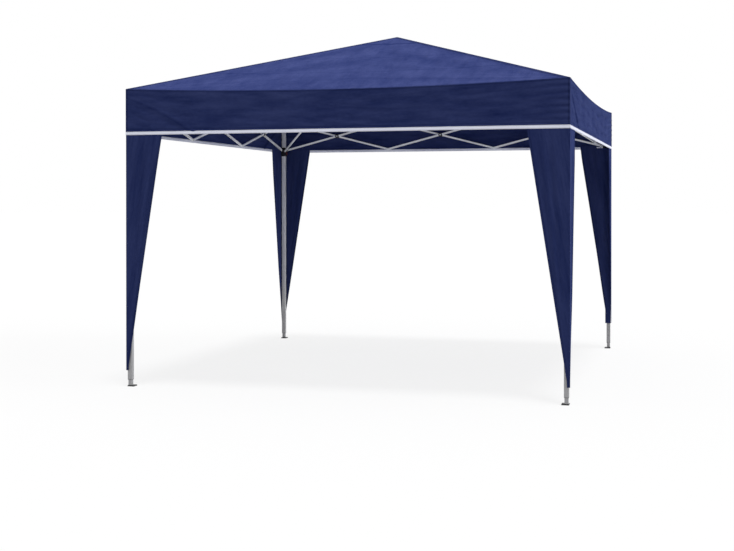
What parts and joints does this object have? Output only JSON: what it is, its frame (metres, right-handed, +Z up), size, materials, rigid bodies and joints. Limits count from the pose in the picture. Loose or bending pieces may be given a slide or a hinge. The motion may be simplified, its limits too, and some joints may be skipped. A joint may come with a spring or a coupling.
{
  "type": "pop up gazebo",
  "caption": "Square pop up gazebo: a peaked cloth canopy with a valance and tapering leg curtains on a folding scissor frame with sliding legs.",
  "frame": {"origin": "on the ground, midway between the four feet", "axes": "+Z up, +Y from the front side to the back side, +X from the left legs to the right legs"},
  "size_m": [3, 3, 2.515],
  "materials": {
    "frame_paint": "satin powder coat",
    "bare_steel": "satin",
    "black_plastic": "matte",
    "red_plastic": "satin",
    "roof_cloth": "coated weave",
    "valance_cloth": "coated weave"
  },
  "bodies": {
    "front_left_leg": {"front_left_leg": "frame_paint"},
    "front_right_leg": {"front_right_leg": "frame_paint"},
    "back_right_leg": {"back_right_leg": "frame_paint"},
    "back_left_leg": {"back_left_leg": "frame_paint"},
    "front_left_lower_leg": {"front_left_lower_leg": "frame_paint"},
    "front_right_lower_leg": {"front_right_lower_leg": "frame_paint"},
    "back_right_lower_leg": {"back_right_lower_leg": "frame_paint"},
    "back_left_lower_leg": {"back_left_lower_leg": "frame_paint"},
    "front_left_slider": {"front_left_slider": "black_plastic"},
    "front_right_slider": {"front_right_slider": "black_plastic"},
    "back_right_slider": {"back_right_slider": "black_plastic"},
    "back_left_slider": {"back_left_slider": "black_plastic"},
    "front_left_slider_button": {"front_left_slider_button": "red_plastic"},
    "front_right_slider_button": {"front_right_slider_button": "red_plastic"},
    "back_right_slider_button": {"back_right_slider_button": "red_plastic"},
    "back_left_slider_button": {"back_left_slider_button": "red_plastic"},
    "front_left_leg_button": {"front_left_leg_button": "bare_steel"},
    "front_right_leg_button": {"front_right_leg_button": "bare_steel"},
    "back_right_leg_button": {"back_right_leg_button": "bare_steel"},
    "back_left_leg_button": {"back_left_leg_button": "bare_steel"},
    "front_left_strut": {"front_left_strut": "frame_paint"},
    "front_right_strut": {"front_right_strut": "frame_paint"},
    "back_right_strut": {"back_right_strut": "frame_paint"},
    "back_left_strut": {"back_left_strut": "frame_paint"},
    "front_left_rafter": {"front_left_rafter": "frame_paint"},
    "front_right_rafter": {"front_right_rafter": "frame_paint"},
    "back_right_rafter": {"back_right_rafter": "frame_paint"},
    "back_left_rafter": {"back_left_rafter": "frame_paint"},
    "front_left_peak_rafter": {"front_left_peak_rafter": "frame_paint"},
    "front_right_peak_rafter": {"front_right_peak_rafter": "frame_paint"},
    "back_right_peak_rafter": {"back_right_peak_rafter": "frame_paint"},
    "back_left_peak_rafter": {"back_left_peak_rafter": "frame_paint"},
    "front_rising_bar_1": {"front_rising_bar_1": "frame_paint"},
    "front_rising_bar_2": {"front_rising_bar_2": "frame_paint"},
    "front_rising_bar_3": {"front_rising_bar_3": "frame_paint"},
    "right_rising_bar_1": {"right_rising_bar_1": "frame_paint"},
    "right_rising_bar_2": {"right_rising_bar_2": "frame_paint"},
    "right_rising_bar_3": {"right_rising_bar_3": "frame_paint"},
    "back_rising_bar_1": {"back_rising_bar_1": "frame_paint"},
    "back_rising_bar_2": {"back_rising_bar_2": "frame_paint"},
    "back_rising_bar_3": {"back_rising_bar_3": "frame_paint"},
    "left_rising_bar_1": {"left_rising_bar_1": "frame_paint"},
    "left_rising_bar_2": {"left_rising_bar_2": "frame_paint"},
    "left_rising_bar_3": {"left_rising_bar_3": "frame_paint"},
    "front_falling_bar_1": {"front_falling_bar_1": "frame_paint"},
    "front_falling_bar_2": {"front_falling_bar_2": "frame_paint"},
    "front_falling_bar_3": {"front_falling_bar_3": "frame_paint"},
    "right_falling_bar_1": {"right_falling_bar_1": "frame_paint"},
    "right_falling_bar_2": {"right_falling_bar_2": "frame_paint"},
    "right_falling_bar_3": {"right_falling_bar_3": "frame_paint"},
    "back_falling_bar_1": {"back_falling_bar_1": "frame_paint"},
    "back_falling_bar_2": {"back_falling_bar_2": "frame_paint"},
    "back_falling_bar_3": {"back_falling_bar_3": "frame_paint"},
    "left_falling_bar_1": {"left_falling_bar_1": "frame_paint"},
    "left_falling_bar_2": {"left_falling_bar_2": "frame_paint"},
    "left_falling_bar_3": {"left_falling_bar_3": "frame_paint"},
    "peak_hub": {"peak_hub": "black_plastic", "canopy_roof": "roof_cloth", "canopy_valance": "valance_cloth", "leg_curtains": "valance_cloth"}
  },
  "joints": [
    {"name": "fold", "type": "hinge", "parent": "front_left_leg", "child": "front_left_rafter", "pos_m": [-1.45903, -1.45903, 1.995], "axis": [-0.7071, 0.7071, 0], "range_deg": [0, 69.5], "deforming": ["canopy_roof", "canopy_valance", "leg_curtains"]},
    {"name": "front_left_knuckle_fold", "type": "hinge", "parent": "front_left_rafter", "child": "front_left_peak_rafter", "pos_m": [-0.82612, -0.82612, 1.90092], "axis": [0.7071, -0.7071, 0], "range_deg": [0, 139.05]},
    {"name": "peak_hub_fold", "type": "hinge", "parent": "front_left_peak_rafter", "child": "peak_hub", "pos_m": [-0.01703, -0.01703, 2.32666], "axis": [0.7071, -0.7071, 0], "range_deg": [-69.55, 0]},
    {"name": "front_left_strut_fold", "type": "hinge", "parent": "front_left_rafter", "child": "front_left_strut", "pos_m": [-1.09002, -1.10741, 1.94144], "axis": [0.7071, -0.7071, 0], "range_deg": [0, 123.59]},
    {"name": "front_right_hub_fold", "type": "hinge", "parent": "peak_hub", "child": "front_right_peak_rafter", "pos_m": [0.01703, -0.01703, 2.32666], "axis": [0.7071, 0.7071, 0], "range_deg": [0, 69.55]},
    {"name": "front_right_knuckle_fold", "type": "hinge", "parent": "front_right_peak_rafter", "child": "front_right_rafter", "pos_m": [0.82612, -0.82612, 1.90092], "axis": [0.7071, 0.7071, 0], "range_deg": [-139.05, 0]},
    {"name": "front_right_leg_fold", "type": "hinge", "parent": "front_right_rafter", "child": "front_right_leg", "pos_m": [1.45903, -1.45903, 1.995], "axis": [0.7071, 0.7071, 0], "range_deg": [0, 69.55]},
    {"name": "front_right_strut_fold", "type": "hinge", "parent": "front_right_rafter", "child": "front_right_strut", "pos_m": [1.10741, -1.09002, 1.94144], "axis": [0.7071, 0.7071, 0], "range_deg": [0, 123.59]},
    {"name": "back_right_hub_fold", "type": "hinge", "parent": "peak_hub", "child": "back_right_peak_rafter", "pos_m": [0.01703, 0.01703, 2.32666], "axis": [-0.7071, 0.7071, 0], "range_deg": [0, 69.55]},
    {"name": "back_right_knuckle_fold", "type": "hinge", "parent": "back_right_peak_rafter", "child": "back_right_rafter", "pos_m": [0.82612, 0.82612, 1.90092], "axis": [-0.7071, 0.7071, 0], "range_deg": [-139.05, 0]},
    {"name": "back_right_leg_fold", "type": "hinge", "parent": "back_right_rafter", "child": "back_right_leg", "pos_m": [1.45903, 1.45903, 1.995], "axis": [-0.7071, 0.7071, 0], "range_deg": [0, 69.55]},
    {"name": "back_right_strut_fold", "type": "hinge", "parent": "back_right_rafter", "child": "back_right_strut", "pos_m": [1.09002, 1.10741, 1.94144], "axis": [-0.7071, 0.7071, 0], "range_deg": [0, 123.59]},
    {"name": "back_left_hub_fold", "type": "hinge", "parent": "peak_hub", "child": "back_left_peak_rafter", "pos_m": [-0.01703, 0.01703, 2.32666], "axis": [-0.7071, -0.7071, 0], "range_deg": [0, 69.55]},
    {"name": "back_left_knuckle_fold", "type": "hinge", "parent": "back_left_peak_rafter", "child": "back_left_rafter", "pos_m": [-0.82612, 0.82612, 1.90092], "axis": [-0.7071, -0.7071, 0], "range_deg": [-139.05, 0]},
    {"name": "back_left_leg_fold", "type": "hinge", "parent": "back_left_rafter", "child": "back_left_leg", "pos_m": [-1.45903, 1.45903, 1.995], "axis": [-0.7071, -0.7071, 0], "range_deg": [0, 69.55]},
    {"name": "back_left_strut_fold", "type": "hinge", "parent": "back_left_rafter", "child": "back_left_strut", "pos_m": [-1.10741, 1.09002, 1.94144], "axis": [-0.7071, -0.7071, 0], "range_deg": [0, 123.59]},
    {"name": "front_start_top_fold", "type": "hinge", "parent": "front_left_leg", "child": "front_falling_bar_1", "pos_m": [-1.442, -1.476, 1.97], "axis": [0, -1, 0], "range_deg": [-69.55, 0]},
    {"name": "front_cross_1_fold", "type": "hinge", "parent": "front_falling_bar_1", "child": "front_rising_bar_1", "pos_m": [-0.96133, -1.476, 1.84748], "axis": [0, -1, 0], "range_deg": [0, 139.05]},
    {"name": "front_top_1_fold", "type": "hinge", "parent": "front_rising_bar_1", "child": "front_falling_bar_2", "pos_m": [-0.48067, -1.476, 1.97], "axis": [0, -1, 0], "range_deg": [-139.05, 0]},
    {"name": "front_left_slider_fold", "type": "hinge", "parent": "front_rising_bar_1", "child": "front_left_slider", "pos_m": [-1.442, -1.476, 1.72496], "axis": [0, -1, 0], "range_deg": [-69.55, 0]},
    {"name": "front_end_top_fold", "type": "hinge", "parent": "front_right_leg", "child": "front_rising_bar_3", "pos_m": [1.442, -1.476, 1.97], "axis": [0, -1, 0], "range_deg": [0, 69.55]},
    {"name": "front_cross_3_fold", "type": "hinge", "parent": "front_rising_bar_3", "child": "front_falling_bar_3", "pos_m": [0.96133, -1.476, 1.84748], "axis": [0, -1, 0], "range_deg": [-139.05, 0]},
    {"name": "front_top_2_fold", "type": "hinge", "parent": "front_falling_bar_3", "child": "front_rising_bar_2", "pos_m": [0.48067, -1.476, 1.97], "axis": [0, -1, 0], "range_deg": [0, 139.05]},
    {"name": "right_start_top_fold", "type": "hinge", "parent": "front_right_leg", "child": "right_falling_bar_1", "pos_m": [1.476, -1.442, 1.97], "axis": [1, 0, 0], "range_deg": [-69.55, 0]},
    {"name": "right_cross_1_fold", "type": "hinge", "parent": "right_falling_bar_1", "child": "right_rising_bar_1", "pos_m": [1.476, -0.96133, 1.84748], "axis": [1, 0, 0], "range_deg": [0, 139.05]},
    {"name": "right_top_1_fold", "type": "hinge", "parent": "right_rising_bar_1", "child": "right_falling_bar_2", "pos_m": [1.476, -0.48067, 1.97], "axis": [1, 0, 0], "range_deg": [-139.05, 0]},
    {"name": "front_right_slider_fold", "type": "hinge", "parent": "right_rising_bar_1", "child": "front_right_slider", "pos_m": [1.476, -1.442, 1.72496], "axis": [1, 0, 0], "range_deg": [-69.55, 0]},
    {"name": "right_end_top_fold", "type": "hinge", "parent": "back_right_leg", "child": "right_rising_bar_3", "pos_m": [1.476, 1.442, 1.97], "axis": [1, 0, 0], "range_deg": [0, 69.55]},
    {"name": "right_cross_3_fold", "type": "hinge", "parent": "right_rising_bar_3", "child": "right_falling_bar_3", "pos_m": [1.476, 0.96133, 1.84748], "axis": [1, 0, 0], "range_deg": [-139.05, 0]},
    {"name": "right_top_2_fold", "type": "hinge", "parent": "right_falling_bar_3", "child": "right_rising_bar_2", "pos_m": [1.476, 0.48067, 1.97], "axis": [1, 0, 0], "range_deg": [0, 139.05]},
    {"name": "back_start_top_fold", "type": "hinge", "parent": "back_right_leg", "child": "back_falling_bar_1", "pos_m": [1.442, 1.476, 1.97], "axis": [0, 1, 0], "range_deg": [-69.55, 0]},
    {"name": "back_cross_1_fold", "type": "hinge", "parent": "back_falling_bar_1", "child": "back_rising_bar_1", "pos_m": [0.96133, 1.476, 1.84748], "axis": [0, 1, 0], "range_deg": [0, 139.05]},
    {"name": "back_top_1_fold", "type": "hinge", "parent": "back_rising_bar_1", "child": "back_falling_bar_2", "pos_m": [0.48067, 1.476, 1.97], "axis": [0, 1, 0], "range_deg": [-139.05, 0]},
    {"name": "back_right_slider_fold", "type": "hinge", "parent": "back_rising_bar_1", "child": "back_right_slider", "pos_m": [1.442, 1.476, 1.72496], "axis": [0, 1, 0], "range_deg": [-69.55, 0]},
    {"name": "back_end_top_fold", "type": "hinge", "parent": "back_left_leg", "child": "back_rising_bar_3", "pos_m": [-1.442, 1.476, 1.97], "axis": [0, 1, 0], "range_deg": [0, 69.55]},
    {"name": "back_cross_3_fold", "type": "hinge", "parent": "back_rising_bar_3", "child": "back_falling_bar_3", "pos_m": [-0.96133, 1.476, 1.84748], "axis": [0, 1, 0], "range_deg": [-139.05, 0]},
    {"name": "back_top_2_fold", "type": "hinge", "parent": "back_falling_bar_3", "child": "back_rising_bar_2", "pos_m": [-0.48067, 1.476, 1.97], "axis": [0, 1, 0], "range_deg": [0, 139.05]},
    {"name": "left_start_top_fold", "type": "hinge", "parent": "back_left_leg", "child": "left_falling_bar_1", "pos_m": [-1.476, 1.442, 1.97], "axis": [-1, 0, 0], "range_deg": [-69.55, 0]},
    {"name": "left_cross_1_fold", "type": "hinge", "parent": "left_falling_bar_1", "child": "left_rising_bar_1", "pos_m": [-1.476, 0.96133, 1.84748], "axis": [-1, 0, 0], "range_deg": [0, 139.05]},
    {"name": "left_top_1_fold", "type": "hinge", "parent": "left_rising_bar_1", "child": "left_falling_bar_2", "pos_m": [-1.476, 0.48067, 1.97], "axis": [-1, 0, 0], "range_deg": [-139.05, 0]},
    {"name": "back_left_slider_fold", "type": "hinge", "parent": "left_rising_bar_1", "child": "back_left_slider", "pos_m": [-1.476, 1.442, 1.72496], "axis": [-1, 0, 0], "range_deg": [-69.55, 0]},
    {"name": "left_end_top_fold", "type": "hinge", "parent": "front_left_leg", "child": "left_rising_bar_3", "pos_m": [-1.476, -1.442, 1.97], "axis": [-1, 0, 0], "range_deg": [0, 69.55]},
    {"name": "left_cross_3_fold", "type": "hinge", "parent": "left_rising_bar_3", "child": "left_falling_bar_3", "pos_m": [-1.476, -0.96133, 1.84748], "axis": [-1, 0, 0], "range_deg": [-139.05, 0]},
    {"name": "left_top_2_fold", "type": "hinge", "parent": "left_falling_bar_3", "child": "left_rising_bar_2", "pos_m": [-1.476, -0.48067, 1.97], "axis": [-1, 0, 0], "range_deg": [0, 139.05]},
    {"name": "front_left_leg_extend", "type": "slide", "parent": "front_left_leg", "child": "front_left_lower_leg", "axis": [0, 0, -1], "range_m": [0, 0.2]},
    {"name": "front_left_leg_button_press", "type": "slide", "parent": "front_left_lower_leg", "child": "front_left_leg_button", "axis": [0, -1, 0], "range_m": [0, 0.003], "stiffness_N_per_m": 1500, "springref_m": -0.002},
    {"name": "front_left_slider_button_press", "type": "slide", "parent": "front_left_slider", "child": "front_left_slider_button", "axis": [0, -1, 0], "range_m": [0, 0.004], "stiffness_N_per_m": 1500, "springref_m": -0.002},
    {"name": "front_right_leg_extend", "type": "slide", "parent": "front_right_leg", "child": "front_right_lower_leg", "axis": [0, 0, -1], "range_m": [0, 0.2]},
    {"name": "front_right_leg_button_press", "type": "slide", "parent": "front_right_lower_leg", "child": "front_right_leg_button", "axis": [1, 0, 0], "range_m": [0, 0.003], "stiffness_N_per_m": 1500, "springref_m": -0.002},
    {"name": "front_right_slider_button_press", "type": "slide", "parent": "front_right_slider", "child": "front_right_slider_button", "axis": [1, 0, 0], "range_m": [0, 0.004], "stiffness_N_per_m": 1500, "springref_m": -0.002},
    {"name": "back_right_leg_extend", "type": "slide", "parent": "back_right_leg", "child": "back_right_lower_leg", "axis": [0, 0, -1], "range_m": [0, 0.2]},
    {"name": "back_right_leg_button_press", "type": "slide", "parent": "back_right_lower_leg", "child": "back_right_leg_button", "axis": [0, 1, 0], "range_m": [0, 0.003], "stiffness_N_per_m": 1500, "springref_m": -0.002},
    {"name": "back_right_slider_button_press", "type": "slide", "parent": "back_right_slider", "child": "back_right_slider_button", "axis": [0, 1, 0], "range_m": [0, 0.004], "stiffness_N_per_m": 1500, "springref_m": -0.002},
    {"name": "back_left_leg_extend", "type": "slide", "parent": "back_left_leg", "child": "back_left_lower_leg", "axis": [0, 0, -1], "range_m": [0, 0.2]},
    {"name": "back_left_leg_button_press", "type": "slide", "parent": "back_left_lower_leg", "child": "back_left_leg_button", "axis": [-1, 0, 0], "range_m": [0, 0.003], "stiffness_N_per_m": 1500, "springref_m": -0.002},
    {"name": "back_left_slider_button_press", "type": "slide", "parent": "back_left_slider", "child": "back_left_slider_button", "axis": [-1, 0, 0], "range_m": [0, 0.004], "stiffness_N_per_m": 1500, "springref_m": -0.002}
  ],
  "couplings": [
    {"joint": "front_left_knuckle_fold", "follows": "fold", "ratio": 2},
    {"joint": "peak_hub_fold", "follows": "fold", "ratio": -1},
    {"joint": "front_left_strut_fold", "follows": "fold", "ratio": 1.7775},
    {"joint": "front_right_hub_fold", "follows": "fold", "ratio": 1},
    {"joint": "front_right_knuckle_fold", "follows": "fold", "ratio": -2},
    {"joint": "front_right_leg_fold", "follows": "fold", "ratio": 1},
    {"joint": "front_right_strut_fold", "follows": "fold", "ratio": 1.7775},
    {"joint": "back_right_hub_fold", "follows": "fold", "ratio": 1},
    {"joint": "back_right_knuckle_fold", "follows": "fold", "ratio": -2},
    {"joint": "back_right_leg_fold", "follows": "fold", "ratio": 1},
    {"joint": "back_right_strut_fold", "follows": "fold", "ratio": 1.7775},
    {"joint": "back_left_hub_fold", "follows": "fold", "ratio": 1},
    {"joint": "back_left_knuckle_fold", "follows": "fold", "ratio": -2},
    {"joint": "back_left_leg_fold", "follows": "fold", "ratio": 1},
    {"joint": "back_left_strut_fold", "follows": "fold", "ratio": 1.7775},
    {"joint": "front_start_top_fold", "follows": "fold", "ratio": -1},
    {"joint": "front_cross_1_fold", "follows": "fold", "ratio": 2},
    {"joint": "front_top_1_fold", "follows": "fold", "ratio": -2},
    {"joint": "front_left_slider_fold", "follows": "fold", "ratio": -1},
    {"joint": "front_end_top_fold", "follows": "fold", "ratio": 1},
    {"joint": "front_cross_3_fold", "follows": "fold", "ratio": -2},
    {"joint": "front_top_2_fold", "follows": "fold", "ratio": 2},
    {"joint": "right_start_top_fold", "follows": "fold", "ratio": -1},
    {"joint": "right_cross_1_fold", "follows": "fold", "ratio": 2},
    {"joint": "right_top_1_fold", "follows": "fold", "ratio": -2},
    {"joint": "front_right_slider_fold", "follows": "fold", "ratio": -1},
    {"joint": "right_end_top_fold", "follows": "fold", "ratio": 1},
    {"joint": "right_cross_3_fold", "follows": "fold", "ratio": -2},
    {"joint": "right_top_2_fold", "follows": "fold", "ratio": 2},
    {"joint": "back_start_top_fold", "follows": "fold", "ratio": -1},
    {"joint": "back_cross_1_fold", "follows": "fold", "ratio": 2},
    {"joint": "back_top_1_fold", "follows": "fold", "ratio": -2},
    {"joint": "back_right_slider_fold", "follows": "fold", "ratio": -1},
    {"joint": "back_end_top_fold", "follows": "fold", "ratio": 1},
    {"joint": "back_cross_3_fold", "follows": "fold", "ratio": -2},
    {"joint": "back_top_2_fold", "follows": "fold", "ratio": 2},
    {"joint": "left_start_top_fold", "follows": "fold", "ratio": -1},
    {"joint": "left_cross_1_fold", "follows": "fold", "ratio": 2},
    {"joint": "left_top_1_fold", "follows": "fold", "ratio": -2},
    {"joint": "back_left_slider_fold", "follows": "fold", "ratio": -1},
    {"joint": "left_end_top_fold", "follows": "fold", "ratio": 1},
    {"joint": "left_cross_3_fold", "follows": "fold", "ratio": -2},
    {"joint": "left_top_2_fold", "follows": "fold", "ratio": 2}
  ]
}
